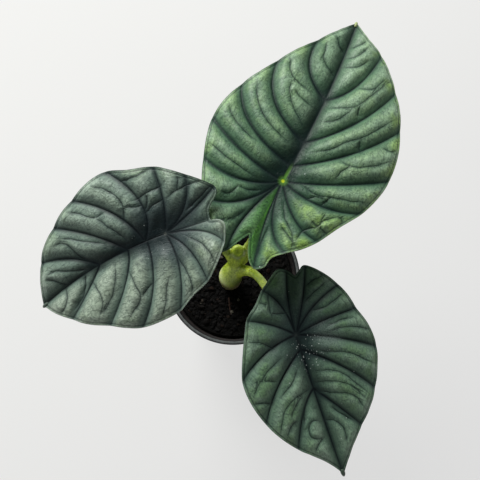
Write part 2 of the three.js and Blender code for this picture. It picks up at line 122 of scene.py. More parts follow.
# Each blade lies in its own plane: x runs from the stalk to the tip, y to the left of it.
# Margin knots go from the tip round to the notch between the basal lobes.
# A vein starts at a share of the midrib, bends through one point and ends on a margin knot.
# A creased blade has one more valley, straight from the stalk to the notch.
# A curl lifts the blade around a point: x, y, reach, lift.
# A twig is a finer vein: the knots of a soft line, which rounds them off.
# A stalk starts in the stem, is pulled towards a second point, and comes from straight below its blade
# over the last stretch, its reach.
# The points were read off the photograph and carried into the planes of the blades. Sums outside this
# file carried them into the planes.
LEAF_REAR = {
    "name": "leaf_1", "at": (32.1, 48.5, 228), "bearing": 65.4, "droop": 7, "roll": 0,
    "tip": (132, 0), "middle": (66, -2.6), "notch": (-40, 5), "curls": [(-44, -20, 8, 3.5)],
    "stalk": {"name": "stalk_rear", "node": "petiole_1", "from": (7, 12, 117),
              "pull": (13.5, 21.5, 155), "reach": 40},
    "left": [
        (116, 10), (103, 18.5), (89, 27.5), (75, 36), (62, 43), (49, 50), (35, 55), (20, 57), (6, 54.5),
        (-7, 50.5), (-19, 46), (-30, 40.5), (-46, 31), (-59, 20.5), (-54, 13), (-46, 8.5),
    ],
    "left_veins": [
        (0.48, (79, 15), 2), (0.22, (46.5, 26), 4), (0.085, (24, 32), 6), (0, (5, 28), 8),
        (0, (-11.2, 24.5), 10), (0, (-24, 19), 12), (0, (-31.5, 11.8), 15),
    ],
    "right": [
        (121, -11), (111, -24.5), (100, -33.5), (88, -42.5), (77, -49), (64, -54.5), (47, -59), (29, -60),
        (15, -57.5), (1, -52), (-14, -42.5), (-27, -34.5), (-36, -27), (-42.5, -19), (-48, -13),
        (-54, -11.5), (-57, -6), (-52, 0),
    ],
    "right_veins": [
        (0.48, (80, -17), 2), (0.22, (54, -26), 4), (0.085, (33, -31), 6), (0, (10.5, -30.5), 8),
        (0, (-6, -27), 10), (0, (-20, -16), 12), (0, (-27, -4.6), 14), (0, (-28.5, -0.6), 17),
    ],
    "twigs": [
        [(82, -3), (86.5, 7.5), (90.5, 10.5), (103, 12)], [(102.5, -2), (105, 4.5), (112, 8.5)],
        [(108.5, -3.5), (112.5, -9), (116.5, -11)], [(99, -3.5), (101.5, -10.5), (112, -14)],
        [(91, -4), (93, -13.5), (102, -17.5)], [(62, 8), (65, 21), (70, 26), (79, 29)],
        [(39, 3.5), (46, 13.5), (55, 20.5), (63.5, 22)], [(53.5, 3.5), (54.5, 11.5), (58, 17.5)],
        [(23.5, 7.5), (26.5, 18), (33, 29.5), (42.5, 37), (53.5, 41.5)],
        [(-15, 23), (-20, 24.5), (-23.5, 26.5), (-23.5, 31)], [(-12, 10), (-16.5, 19), (-15.5, 23)],
        [(-28, 13.5), (-37, 18.5), (-41, 28)], [(80, -19), (80, -27.5), (86, -30), (94, -33)],
        [(57.5, -6), (60.5, -16.5), (65.5, -24), (77.5, -28.5), (95.5, -37)], [(65.5, -24), (59.5, -26)],
        [(46.5, -7), (49.5, -15), (61, -20.5)],
        [(23.5, -7.5), (29.5, -19.5), (38.5, -24.5), (44, -32.5), (55, -40), (68, -48)],
        [(44, -32.5), (37, -36)], [(26, -27.5), (24, -33.5), (28, -43.5), (41, -57)],
        [(14, -29), (20, -30), (24, -34.5)], [(46.5, -48), (45.5, -53), (48.5, -56)],
        [(3, -10.5), (-1.5, -19), (-0.5, -27), (1.5, -31.5), (3.5, -42), (8.5, -52.5)],
        [(-6, -27.5), (-0.5, -29.5), (1.5, -31.5)], [(-17.5, -25.5), (-19.5, -31), (-21, -38)],
        [(-19.5, -31), (-15, -30.5), (-7.5, -40)],
        [(-34, -22), (-25, -22.5), (-22.5, -25.5), (-19.5, -31)], [(-28, -10.5), (-32, -17), (-36, -23)],
        [(-13.5, -42.5), (-8.5, -43), (-8, -39)], [(-31, -3.5), (-42, -3.5), (-50, -4.5)],
        [(-12.5, -6), (-22.5, -9.5), (-26.5, -16.5), (-32.5, -20), (-38.5, -21.5)],
        [(-6, -17.5), (-1.5, -22), (-1.5, -28.5)], [(-10, -31.5), (-15.5, -31), (-20.5, -30.5)],
        [(-41.5, 25), (-37.5, 20), (-34.5, 16)],
        [(2, 50.5), (-0.5, 42.5), (-3.5, 34.5), (-5, 25), (-6, 18)],
        [(30.5, 51), (23, 44.5), (18, 34.5), (15.5, 25.5)],
    ],
}
LEAF_LEFT = {
    "name": "leaf_2", "at": (-39, 14.9, 233), "bearing": 207.4, "droop": 15, "roll": 0,
    "tip": (95.5, 0), "middle": (47.5, -4), "notch": (-28.5, 6), "creased": True,
    "stalk": {"name": "stalk_left", "node": "petiole_2", "from": (1, 9, 118),
              "pull": (-2.5, 23, 146), "reach": 36},
    "left": [
        (88, 9), (79, 17.5), (69, 25.5), (57, 32.5), (47.5, 38.5), (38.5, 43), (26.5, 45), (12.5, 45),
        (1, 41), (-11, 37.5), (-22, 30.5), (-30.5, 22), (-35.5, 13), (-33.5, 8.5),
    ],
    "left_veins": [
        (0.49, (60.5, 6), 2), (0.27, (35.5, 14), 4), (0.13, (20, 23.5), 6), (0, (0.8, 22.5), 8),
        (0, (-9.5, 16), 10), (0, (-20.5, 9), 12),
    ],
    "right": [
        (90.5, -9), (82, -23.4), (74.5, -31), (63.5, -38.5), (54.5, -43.5), (44.5, -47.5), (31, -51.5),
        (16, -52), (2, -45), (-12.5, -39), (-20.5, -32.5), (-28, -25), (-34.5, -18), (-40, -10.5),
        (-39, -5.5), (-31.5, -0.5),
    ],
    "right_veins": [
        (0.49, (62.5, -16.5), 2), (0.27, (42.5, -22.5), 4), (0.14, (22.5, -26), 6), (0.14, (4, -23), 8),
        (0, (-9, -18), 10), (0, (-18.5, -8.5), 12), (0, (-22, -4.3), 14),
    ],
    "twigs": [
        [(84, -12.5), (78, -10), (76, -6), (72.5, -3.5)],
        [(79.5, -14), (73.5, -14.5), (69, -10.5), (60.5, -7.5), (55, -5)],
        [(67.5, -28), (61, -27), (57.5, -23.5), (56.5, -17.5), (55, -13), (50.5, -9)],
        [(62.5, -30), (55.5, -27.5), (49.5, -21.5), (43, -17.5), (36.5, -13)],
        [(49.5, -42), (43, -38), (39, -34), (34, -28.5), (30, -29.5), (28, -30)],
        [(33.5, -28.5), (29.5, -23.5), (29, -19.5), (25, -15), (23, -8.5)],
        [(26.5, -47), (19.5, -41.5), (15.5, -35), (13.5, -29.5), (14.5, -24.5), (20, -17.5)],
        [(14.5, -26), (9, -22.5), (4.5, -21.5)], [(9, -41), (3.5, -39.5), (-3.5, -37.5), (-9.5, -38.5)],
        [(7.5, -26.5), (-1, -26), (-8, -26), (-13, -26)], [(-2, -25.5), (-1, -21.5), (5, -17.5)],
        [(5.5, -16.5), (-3, -18), (-9.5, -18.5)],
        [(-11.5, -17.5), (-20, -18.5), (-26.5, -19), (-35.5, -16)],
        [(-23.5, -26), (-22.5, -22), (-18.5, -17.5)], [(-19, -6), (-26.5, -8), (-33, -10), (-38, -11.5)],
        [(75, -1.5), (75.5, 5.5), (80, 9.5), (85.5, 10.5)],
        [(56.5, 3), (53, 10), (52.5, 17.5), (55.5, 21.5), (61, 26)],
        [(36.5, 1), (39.5, 10), (46, 17.5), (52, 21), (57, 25)],
        [(30.5, 9.5), (29.5, 18), (28.5, 25.5), (32, 29.5), (37.5, 32), (43, 35)],
        [(19.5, 22), (24.5, 24.5), (29.5, 27)], [(8, 25), (13, 30), (16, 36), (19, 39.5), (24.5, 43.5)],
        [(-1, 14), (-2.5, 25.5), (-3.5, 34.5), (1.5, 40.5)],
        [(-12, 8.5), (-17.5, 14), (-21, 22), (-20.5, 30.5)],
        [(58.5, -5), (60.5, 2.5), (66.5, 9), (75, 13)],
    ],
}
LEAF_FRONT = {
    "name": "leaf_3", "at": (40.7, -45.1, 208), "bearing": 290, "droop": 9, "roll": -9,
    "tip": (96, 0), "middle": (48, -0.8), "notch": (-35, 12),
    "stalk": {"name": "stalk_front", "node": "petiole_3", "from": (2.5, 2, 109),
              "pull": (24, 11, 156), "reach": 38},
    "left": [
        (88, 5), (78, 12), (69, 21), (60, 29), (50, 37), (38, 42.5), (26, 47), (12, 46.5), (-2, 42.5),
        (-11, 40), (-20, 36.5), (-31, 29), (-39, 20.5), (-37, 15),
    ],
    "left_veins": [
        (0.37, (53, 11), 3), (0.1, (29, 21), 5), (0, (12, 26), 7), (0, (-2.5, 20.5), 9),
        (0, (-13, 16.5), 11), (0, (-19, 11.3), 13),
    ],
    "right": [
        (90, -3), (81, -9.5), (73, -17), (67, -23), (55, -31.5), (44, -37), (29, -41.5), (14, -42),
        (-3, -36), (-20, -27), (-27, -19), (-34, -11), (-39, -3.5), (-42.5, 3), (-40, 8.5),
    ],
    "right_veins": [
        (0.37, (47, -12.5), 4), (0.1, (24.5, -21.8), 6), (0, (3, -23), 8), (0, (-11, -12), 10),
        (0, (-20, -2.6), 12), (0, (-20.5, 2.5), 15),
    ],
    "twigs": [
        [(38, 1), (41.5, 7.5), (44, 16.5), (48, 21.5), (52.5, 23.5), (59.5, 25.5)],
        [(32.5, 2.5), (33.5, 8.5), (36.5, 16), (41, 21), (46.5, 25), (53.5, 28)],
        [(25.5, 4.5), (27, 11), (30.5, 17.5), (36, 22), (42.5, 26), (51, 31)],
        [(13.5, 9), (17.5, 17), (20, 24.5), (24, 30.5), (30, 35.5), (35, 42)],
        [(5, 21.5), (5.5, 30.5), (8.5, 38.5), (14, 46.5)],
        [(-11, 15), (-10, 21.5), (-11, 27.5), (-13, 31), (-14, 38.5)],
        [(-27, 16.5), (-29, 23), (-29.5, 29.5)], [(-17, 11.5), (-21.5, 19), (-25, 28.5)],
        [(57, -1), (58.5, 5.5), (64, 8.5), (70, 9), (75, 8)], [(50.5, 6), (57, 10.5), (64, 16)],
        [(-31.5, -7.5), (-25.5, -10.5), (-17, -11.5)], [(-19, -11), (-16.5, -6.5), (-15, 0)],
        [(-27.5, -16), (-24.5, -11.5)], [(-7.5, -30.5), (-6, -24.5), (-1.5, -20), (3, -16.5)],
        [(8.5, -13.5), (11.5, -23), (16, -30.5), (20, -35.5), (24.5, -39)],
        [(21, -22.5), (17, -30), (16.5, -36.5)], [(33, -30), (28.5, -36.5), (29.5, -40.5)],
        [(19.5, -7), (25, -11.5), (28.5, -17.5), (31.5, -23.5)],
        [(35, -4.5), (34.5, -15), (38.5, -23), (44, -27), (51.5, -30.5)],
        [(36, -10), (40, -17), (45.5, -21.5)],
        [(54.5, -5), (53, -9), (55.5, -12), (61, -14), (64.5, -12), (66.5, -5)],
        [(66.5, -5.5), (68.5, -10.5), (71.5, -13.5)], [(49, -18.5), (50, -24), (55.5, -27.5)],
        [(40.5, -7.5), (46.5, -12), (53, -14)], [(2, 18.5), (0.5, 27.5), (2, 37)],
    ],
}
LEAVES = [LEAF_REAR, LEAF_LEFT, LEAF_FRONT]

PETIOLE_BASE_RADIUS = 3.3
PETIOLE_TOP_RADIUS = 2.6

# Finishes of the three blades, in the order of the leaves: sRGB colours, shares, and reaches in mm
BLADE_LOOKS = {
    "piece": ("blade_rear", "blade_left", "blade_front"),
    # crest and valley: partly the leaf's own tone, partly painted sheen on the crests and painted shade
    # in the valleys
    "crest": ((143, 173, 142), (166, 185, 168), (147, 174, 149)),
    "field": ((86, 119, 92), (112, 132, 120), (100, 128, 107)),
    "valley": ((36, 62, 50), (46, 60, 58), (58, 77, 70)),
    "vein": ((12, 28, 28), (10, 20, 24), (8, 18, 22)),
    "halo": (0.46, 0.4, 0.58),  # soft painted shade beside the main veins, partly their own dark tone
    "lift": (0.05, 0.12, 0.04),  # painted light: how much paler the half towards the light is
    "bloom": (0.1, 0.4, 0),  # painted grey sheen on that half
    # Yellow-green patches: partly the leaf's own tone, partly painted light, since they lean to the half
    # towards the light
    "warm": ((150, 188, 88), (116, 142, 94), (88, 126, 74)),
    "warmth": (0.92, 0.5, 0.75),
    "warm_beyond": (0.5, 1, 1),  # how much of it is left on the half away from the light
    "moss": (0.2, 0.25, 0.9),  # how much of it lies away from the margin
    # dark: colour of the painted shade beside the midrib
    "dark": ((12, 30, 28), (15, 26, 29), (18, 32, 35)),
    "dusk": (0.94, 0.9, 0.6),  # how far the painted shade covers the blade beside the midrib
    "dusk_side": (1, -1, 1),  # the half away from the light: left is 1
    "dusk_reach": ((27, 9), (27, 4), (13, 5)),  # its width by the stalk and by the tip
    "dusk_beyond": (0.4, 0.45, 1),  # its width on the other half, as a share
    "dusk_far": (0.7, 0.3, 0.5),  # how much of it is left at the tip
    "hub": (0.7, 1, 0.8),  # painted shade around the stalk
    "hub_reach": (27, 30, 34),
    "hub_tint": ((34, 60, 48), (56, 68, 71), (42, 56, 58)),
    "strip": ((86, 148, 58), (52, 66, 62), (14, 26, 28)),  # towards the notch
    "stripped": (0.9, 0.3, 0.85),
    "eye": ((190, 206, 40), (84, 88, 84), (62, 70, 68)),
    "glow": ((84, 132, 48), (60, 70, 70), (44, 54, 54)),
    "eye_size": (1, 0.5, 0.4),
    "dust": (0.03, 0.12, 1),
    # The thin rim, painted paler on the half towards the light: a painted highlight
    "rim": ((48, 68, 52), (42, 54, 50), (34, 46, 42)),
    "lit_rim": ((136, 156, 116), (156, 168, 158), (118, 136, 126)),
    "mucro": ((176, 184, 122), (52, 62, 54), (34, 36, 32)),
    "mucro_size": (1.25, 1.35, 1.45),
}

# Stage and light: places and sizes in metres. The camera looks from where it sees the pot's rim as
# the photograph does: the middle of the rim and its width are pixels.
FLOOR_GLOW = 0.9
FLOOR_REACH = 5
FLOOR_SIDES = 72
COVE = 1
WALL_TOP = 2.6
PICTURE_SIZE = 480
RIM_SEEN = (233, 277)
RIM_SEEN_WIDTH = 134
CAMERA_TILT = 8        # degrees away from straight down
SKY = 0.05
WINDOW_PLACE = (-0.55, 1.3, 1.1)
WINDOW_AIM = (0, 0, 0.2)
WINDOW_SIZE = 0.9
WINDOW_POWER = 39


def linear(rgb):
    """An sRGB colour of 0 to 255 as the linear colour that a shader works with."""
    parts = [c / 255 for c in rgb]
    return tuple(c / 12.92 if c <= 0.04045 else ((c + 0.055) / 1.055) ** 2.4 for c in parts) + (1.0,)


def operator(operation, swapped=False):
    """A method that feeds a value and another one, or a plain number, to a Math node."""

    def apply(self, other):
        return self.math(operation, *((other, self) if swapped else (self, other)))

    return apply


class Value:
    """A number, vector or colour of a shader. Arithmetic on numbers adds the Math nodes."""

    __add__ = __radd__ = operator("ADD")
    __sub__ = operator("SUBTRACT")
    __rsub__ = operator("SUBTRACT", swapped=True)
    __mul__ = __rmul__ = operator("MULTIPLY")
    __truediv__ = operator("DIVIDE")
    __gt__ = operator("GREATER_THAN")
    __lt__ = operator("LESS_THAN")
    most = operator("MAXIMUM")

    def __init__(self, shader, socket):
        self.shader = shader
        self.socket = socket

    def __abs__(self):
        return self.math("ABSOLUTE", self)

    def sine(self):
        return self.math("SINE", self)

    def math(self, operation, *values):
        return self.shader.node("Math", {"operation": operation}, dict(enumerate(values)))

    def ramp(self, low, high, start=0, end=1):
        """A smooth step: start up to low, end from high on."""
        return self.shader.node("MapRange", {"interpolation_type": "SMOOTHSTEP"}, {
            "Value": self, "From Min": low, "From Max": high, "To Min": start, "To Max": end})

    def fade(self, low, high):
        """A smooth step down: 1 up to low, 0 from high on."""
        return self.ramp(low, high, 1, 0)


class Shader:
    """A material built up from expressions, ending in one Principled surface."""

    def __init__(self, name, **sockets):
        self.material = bpy.data.materials.new(name)
        self.material.use_nodes = True
        self.tree = self.material.node_tree
        self.surface(sockets)

    def surface(self, sockets):
        """Feeds the sockets of the surface, with the words of their names joined by underscores."""
        inputs = self.tree.nodes["Principled BSDF"].inputs
        for name, value in sockets.items():
            self.feed(inputs[name.replace("_", " ")], value)

    def finish(self, **sockets):
        self.surface({"Base_Color": self.colour, **sockets})
        return self.material

    def node(self, kind, settings=None, inputs=None, output=0):
        """Adds a node with its settings, then feeds its inputs, and gives one of its outputs."""
        made = self.tree.nodes.new("ShaderNode" + kind)
        for key, value in (settings or {}).items():
            setattr(made, key, value)
        for key, value in (inputs or {}).items():
            self.feed(made.inputs[key], value)
        return Value(self, made.outputs[output])

    def feed(self, socket, value):
        if isinstance(value, Value):
            self.tree.links.new(value.socket, socket)
        else:
            socket.default_value = value

    def attribute(self, name, output="Fac"):
        return self.node("Attribute", {"attribute_name": name}, output=output)

    def place(self):
        """The place on the piece, in millimetres."""
        return self.scaled(self.node("TexCoord", output="Object"), 1 / MM)

    def scaled(self, vector, factor):
        return self.node("VectorMath", {"operation": "SCALE"}, {0: vector, "Scale": factor})

    def shifted(self, vector, other):
        return self.node("VectorMath", {"operation": "ADD"}, {0: vector, 1: other})

    def far(self, vector, point=(0, 0, 0)):
        """The distance of a vector from a point."""
        return self.node("VectorMath", {"operation": "DISTANCE"}, {0: vector, 1: point}, "Value")

    def parts(self, vector):
        split = self.node("SeparateXYZ", inputs={0: vector}).socket.node
        return [Value(self, output) for output in split.outputs]

    def together(self, x, y, z):
        return self.node("CombineXYZ", inputs={0: x, 1: y, 2: z})

    def noise(self, vector, scale, detail=3, rough=0.5, output="Fac"):
        return self.node("TexNoise", {}, {
            "Vector": vector, "Scale": scale, "Detail": detail, "Roughness": rough}, output)

    def cells(self, vector, scale, output="Distance", feature="F1"):
        return self.node("TexVoronoi", {"feature": feature}, {"Vector": vector, "Scale": scale}, output)

    def blend(self, share, first, second):
        """The first colour where the share is 0 and the second where it is 1. Plain ones are sRGB."""
        first, second = (c if isinstance(c, Value) else linear(c) for c in (first, second))
        settings = {"data_type": "RGBA", "blend_type": "MIX", "clamp_factor": True}
        return self.node("Mix", settings, {0: share, 6: first, 7: second}, 2)

    def base(self, share, first, second):
        """Starts the colour of the surface."""
        self.colour = self.blend(share, first, second)

    def paint(self, share, colour):
        """Lays one more colour over the surface, as far as the share."""
        self.colour = self.blend(share, self.colour, colour)

    def bump(self, height, distance, strength):
        return self.node("Bump", {}, {
            "Height": height, "Distance": distance, "Strength": strength}, "Normal")


def blade_finish(name, look):
    """Quilted leaf skin: silvery crests and dark valleys, partly the leaf's own tone and partly painted
    sheen and shade, dark sunken veins, a thin margin and a paler underside.
    """
    s = Shader(name, Coat_Roughness=0.38, Specular_IOR_Level=0.16)
    names = "rib puff girth twig twig_side sunk rim spine stride under strip".split()
    rib, puff, girth, twig, side, sunk, rim, spine, stride, under, strip = map(s.attribute, names)
    flat = s.attribute("flat", "Vector")

    broad = s.noise(flat, 0.035, 2)
    patchy = s.noise(s.shifted(flat, (40, 90, 0)), 0.09)
    fine = s.noise(flat, 1.3, 4, 0.65)
    wander = s.noise(flat, 0.22, 2)
    mottle = s.noise(flat, 0.42, 4, 0.6)
    centre = s.far(flat)
    along = s.parts(flat)[0]
    off = abs(spine)
    shaded = (spine * look.dusk_side).ramp(-1.5, 1.5)
    lit = 1 - shaded

    # Fine cross veins along the fields, and a net of wrinkles between them
    course = wander * 18 + rib * 0.9
    stripe = (stride * 2.3 + course).sine() + (stride * 3.9 + course * 1.3).sine()
    stripe = (stripe * 0.25 + 0.5) * s.noise(flat, 0.5, 2).ramp(0.32, 0.6)
    bent = s.shifted(flat, s.scaled(s.noise(flat, 0.35, 2, 0.5, "Color"), 3))
    net = s.cells(bent, 0.4, "Distance", "DISTANCE_TO_EDGE").fade(0, 0.16)
    net = net * rib.ramp(1, 3) * wander.ramp(0.35, 0.6)

    # Colour of the quilted fields: dark in the valleys and pale on the crests, partly the leaf's own tone
    # and partly painted shade and sheen; the half towards the light is painted paler
    level = puff + (broad - 0.5) * 0.3 + (patchy - 0.5) * 0.3 + lit * look.lift
    crest = level.ramp(0.36, 0.95)
    s.base(level.ramp(0, 0.34), look.valley, look.field)
    s.paint(crest, look.crest)
    # Painted grey sheen on the crests of the half towards the light
    s.paint(puff.ramp(0.1, 0.7) * lit * look.bloom, (170, 182, 160))
    # Painted shade around the stalk
    hub = (centre + (patchy - 0.5) * 14).fade(11, look.hub_reach) * fine.ramp(0.3, 0.7, 1, 0.85)
    s.paint(hub * look.hub, look.hub_tint)
    # Yellow-green patches, partly painted light where they spread over the half towards the light
    outer = rim.ramp(2, 11, 0.8, 0).most(along.fade(-25, 15) * lit)
    outer = (outer * shaded.ramp(0, 1, 1, look.warm_beyond)).most(look.moss)
    warm = patchy.ramp(0.36, 0.66) * puff.ramp(0.1, 0.7) * outer * off.ramp(5, 20)
    s.paint(warm * look.warmth, look.warm)
    green = strip.ramp(0.05, 0.6) * centre.ramp(3, 9) * look.stripped
    s.paint(green * spine.ramp(-2, 9, 1, 0.55), look.strip)
    s.paint(stripe * 0.55 * rib.ramp(0.8, 3), look.valley)
    s.paint(net * 0.34, look.valley)
    s.paint(fine.ramp(0.35, 0.75) * 0.08, look.crest)
    s.paint(mottle.ramp(0.5, 0.68) * 0.3, look.valley)

    # Painted shade beside the midrib, partly the leaf's own dark tone, wide on the side that lies away
    # from the light
    reach = along.ramp(-5, 90, *look.dusk_reach)
    reach = reach * shaded.ramp(0, 1, look.dusk_beyond) * (0.75 + broad * 0.5)
    dusk = (off / reach).fade(0.05, 1) * (1 - puff * 0.3) * shaded.ramp(0, 1, 0.8)
    dusk = dusk * strip.fade(0.2, 0.8) * along.ramp(35, 85, 1, look.dusk_far) * look.dusk
    s.paint(dusk, look.dark)

    # Veins, which fade before they reach the margin, with a soft painted shade beside them that is wider
    # on the half away from the light
    width = 0.2 + girth * 0.42
    reached = rim.ramp(0.4, 4, 0.15)
    halo = (rib / width / (1 + shaded * 0.8)).fade(0.5, 2.8) * reached * (0.4 + girth * 0.6)
    s.paint(halo * look.halo, look.vein)
    s.paint((rib / width).fade(0.5, 1.4) * reached * (0.6 + girth * 0.35), look.vein)
    thin = abs(side).fade(0.1, 0.6) * (twig < 1.4) * rim.ramp(1, 3) * sunk
    # Darker band along the finer veins: partly their own tone, partly painted shade in their grooves
    s.paint(twig.fade(0.1, 1.8) * sunk * 0.45, look.valley)
    s.paint(thin * (0.38 + 0.46 * wander), look.vein)

    # Margin: a dark vein just inside a thin rim, which is painted paler on the half towards the light as
    # a painted highlight
    s.paint(abs(rim - 1.5).fade(0.1, 0.75) * 0.55, look.vein)
    edge_tint = s.blend(lit * wander.ramp(0.3, 0.6, 0.5), look.rim, look.lit_rim)
    s.paint(rim.fade(0.2, 0.6) * 0.8, edge_tint)

    # The eye over the stalk, and the light streak that it sends up the midrib
    streak = off.fade(0.4, 1.5) * along.ramp(-0.5, 1) * along.fade(3, 15)
    s.paint(centre.fade(0.8, 4.2).most(streak) * look.eye_size * 0.85, look.glow)
    s.paint(centre.fade(0.5, 1.5) * look.eye_size, look.eye)

    # A pale grey haze, partly dust and partly painted sheen, with grains of dust in it
    dust_and_sheen = s.far(flat, (8, 19, 0)).ramp(2, 14, 0.5, 0) * fine.ramp(0.3, 0.6) * look.dust
    s.paint(dust_and_sheen, (132, 148, 142))
    chance, size, _ = s.parts(s.cells(flat, 1.15, "Color"))
    cloud = s.far(flat, (14, 4, 0)).ramp(2, 17, 0.3, 0.005)
    dust = (s.cells(flat, 1.15) / (0.5 + size)).fade(0.16, 0.36) * (chance < cloud * look.dust)
    s.paint(dust * (0.25 + size * 0.65), (200, 210, 206))

    # Underside: pale and dull, with lighter raised veins
    below = s.blend(rib.ramp(0.6, 2.4), (150, 168, 126), (112, 136, 104))
    below = s.blend(patchy.ramp(0.3, 0.7) * 0.35, below, (96, 118, 92))
    s.paint(under, below)

    roughness = 0.46 + (fine - 0.5) * 0.14 + halo * 0.1 + dust * 0.3 + under * 0.14
    coat = (0.02 + crest * 0.16) * (1 - under * 0.8) * (1 - dusk * 0.9)
    height = stripe * -0.7 + net * -0.9 + fine * 0.3 + thin * -0.8
    return s.finish(Roughness=roughness, Coat_Weight=coat,
                    Normal=s.bump(height, 0.00016, 0.9))


def stalk_finish(name, sheath=False):
    """Fleshy yellow-green skin, streaked along the stalk and freckled."""
    s = Shader(name, Subsurface_Weight=0.18, Subsurface_Scale=0.004, Subsurface_Radius=(0.5, 0.9, 0.15),
               Coat_Roughness=0.25, Specular_IOR_Level=0.45)
    place = s.place()
    x, y, z = s.parts(place)
    long_way = s.together(x, y, z * 0.12)
    streak = s.noise(long_way, 0.9)
    cloud = s.noise(place, 0.11)
    freckled = s.together(x, y, z * 0.6)
    chance = s.parts(s.cells(freckled, 0.55, "Color"))[0]
    spot = s.cells(freckled, 0.55).fade(0.14, 0.3) * (chance < 0.16)
    tints = ((118, 138, 18), (166, 184, 60)) if sheath else ((100, 118, 16), (146, 162, 56))
    s.base(streak.ramp(0.3, 0.7), *tints)
    s.paint(cloud.ramp(0.4, 0.7) * (0.3 if sheath else 0.8), (84, 104, 6))
    s.paint(spot * 0.55, (74, 70, 22))
    if sheath:
        # Painted shade on the flank away from the light and a painted highlight on the flank towards it,
        # painted shade in the cup at the top, the earthy foot and its papery shreds
        across = x + y * 0.3
        s.paint(across.ramp(-9, 3) * z.fade(106, 118) * 0.92, (40, 50, 8))
        s.paint(across.fade(-11, -3.5) * z.fade(106, 116) * 0.9, (216, 226, 156))
        s.paint(s.far(place, (4.4, 13.4, 139)).fade(2.5, 9) * 0.6, (76, 94, 10))
        s.paint((z + y * 0.8 + (cloud - 0.5) * 6).fade(92, 104) * 0.95, (84, 78, 48))
        papery = s.noise(long_way, 1.6, 4).ramp(0.52, 0.66) * z.fade(86, 98)
        s.paint(papery * 0.6, (132, 112, 88))
    height = streak * 0.8 + s.noise(place, 2.2) * 0.25 + spot * -0.3
    return s.finish(Roughness=0.36 + streak * 0.14 + spot * 0.2,
                    Coat_Weight=0.12 + cloud * 0.1, Normal=s.bump(height, 0.0002, 0.5))


def pot_finish():
    """Black moulded plastic, faintly scuffed, with soil smears inside and a painted highlight along the
    lip.
    """
    s = Shader("pot_plastic_finish", Specular_IOR_Level=0.5)
    place = s.place()
    x, y, z = s.parts(place)
    cloud = s.noise(place, 0.06, 4)
    scuff = s.noise(s.together(x, y, z * 5), 0.35, 5, 0.7)
    s.base(cloud.ramp(0.3, 0.7), (16, 17, 20), (24, 25, 28))
    s.paint(scuff.ramp(0.6, 0.8) * 0.3, (60, 61, 62))
    radius = s.far(s.together(x, y, 0))
    inside = radius.fade(BAND_RADIUS - 1, BAND_RADIUS - 0.6) * z.ramp(60, 80)
    smear = inside * (z + cloud * 10).fade(88, 99) * scuff.ramp(0.35, 0.6)
    s.paint(smear * 0.6, (44, 33, 26))
    # Pale line along the top of the lip: a painted highlight
    lip_highlight = z.ramp(POT_HEIGHT - 0.5, POT_HEIGHT - 0.1) * radius.fade(BAND_RADIUS - 0.2, BAND_RADIUS + 0.8)
    s.paint(lip_highlight * scuff.ramp(0.3, 0.7, 0.35, 0.8), (104, 108, 108))
    rings = (z * 4.2).sine() * 0.5 + 0.5
    roughness = 0.38 + cloud * 0.16 + smear * 0.3 + scuff.ramp(0.5, 0.8) * 0.15
    height = s.noise(place, 3, 2) * 0.4 + rings * 0.12 + scuff * 0.4
    return s.finish(Roughness=roughness, Normal=s.bump(height, 0.00015, 0.5))


def soil_finish():
    """Damp dark peat with scattered grit, its near-black tone partly painted shade."""
    s = Shader("potting_mix_finish", Specular_IOR_Level=0.12)
    place = s.place()
    clod = s.noise(place, 0.3, 5, 0.65)
    chance = s.parts(s.cells(place, 1.4, "Color"))[0]
    s.base(clod.ramp(0.35, 0.7), (3, 3, 3), (9, 8, 7))
    s.paint((chance > 0.97) * s.cells(place, 1.4).fade(0.1, 0.3), (84, 78, 68))
    height = clod * 1.2 + s.cells(place, 0.9) * 0.8
    return s.finish(Roughness=0.78 + clod * 0.2, Normal=s.bump(height, 0.0008, 0.8))


def crumb_finish():
    """Peat, bark and a few pale grains, each crumb with its own tint, kept near-black as partly painted
    shade.
    """
    s = Shader("soil_crumbs_finish", Specular_IOR_Level=0.12)
    tint = s.attribute("tint")
    grain = s.noise(s.place(), 1.2, 4, 0.6)
    s.base(tint.ramp(0, 0.8), (3, 3, 3), (11, 9, 8))
    s.paint(tint.ramp(0.9, 0.93), (30, 21, 16))
    s.paint(tint.ramp(0.985, 0.99), (84, 80, 72))
    s.paint(grain.ramp(0.4, 0.7) * 0.4, (6, 5, 5))
    return s.finish(Roughness=0.72 + grain * 0.2, Normal=s.bump(grain, 0.0006, 0.7))


def twig_finish():
    """Dry brown bark."""
    s = Shader("twig_finish", Specular_IOR_Level=0.3)
    bark = s.noise(s.place(), 1.4, 4)
    s.base(bark.ramp(0.35, 0.7), (26, 16, 12), (66, 42, 30))
    return s.finish(Roughness=0.7 + bark * 0.2, Normal=s.bump(bark, 0.0004, 0.6))


def mucro_finish(name, look):
    """Waxy point of a leaf, mottled with the tone of the blade."""
    s = Shader(name, Specular_IOR_Level=0.35)
    mottle = s.noise(s.place(), 1.5)
    s.base(mottle * 0.6, look.mucro, look.field)
    return s.finish(Roughness=0.45 + mottle * 0.2)


def floor_finish():
    """Pale board that glows a little, brighter towards the light: painted light that evens the floor and
    keeps shadows on it faint.
    """
    s = Shader("floor_finish", Roughness=0.9, Specular_IOR_Level=0.1, Emission_Strength=FLOOR_GLOW)
    place = s.place()
    x, y, _ = s.parts(place)
    s.base(s.noise(place, 0.0015, 2), (108, 108, 107), (112, 112, 111))
    glow = s.blend((y - x).ramp(-600, 600), (219, 219, 219), (230, 230, 228))
    return s.finish(Emission_Color=glow)


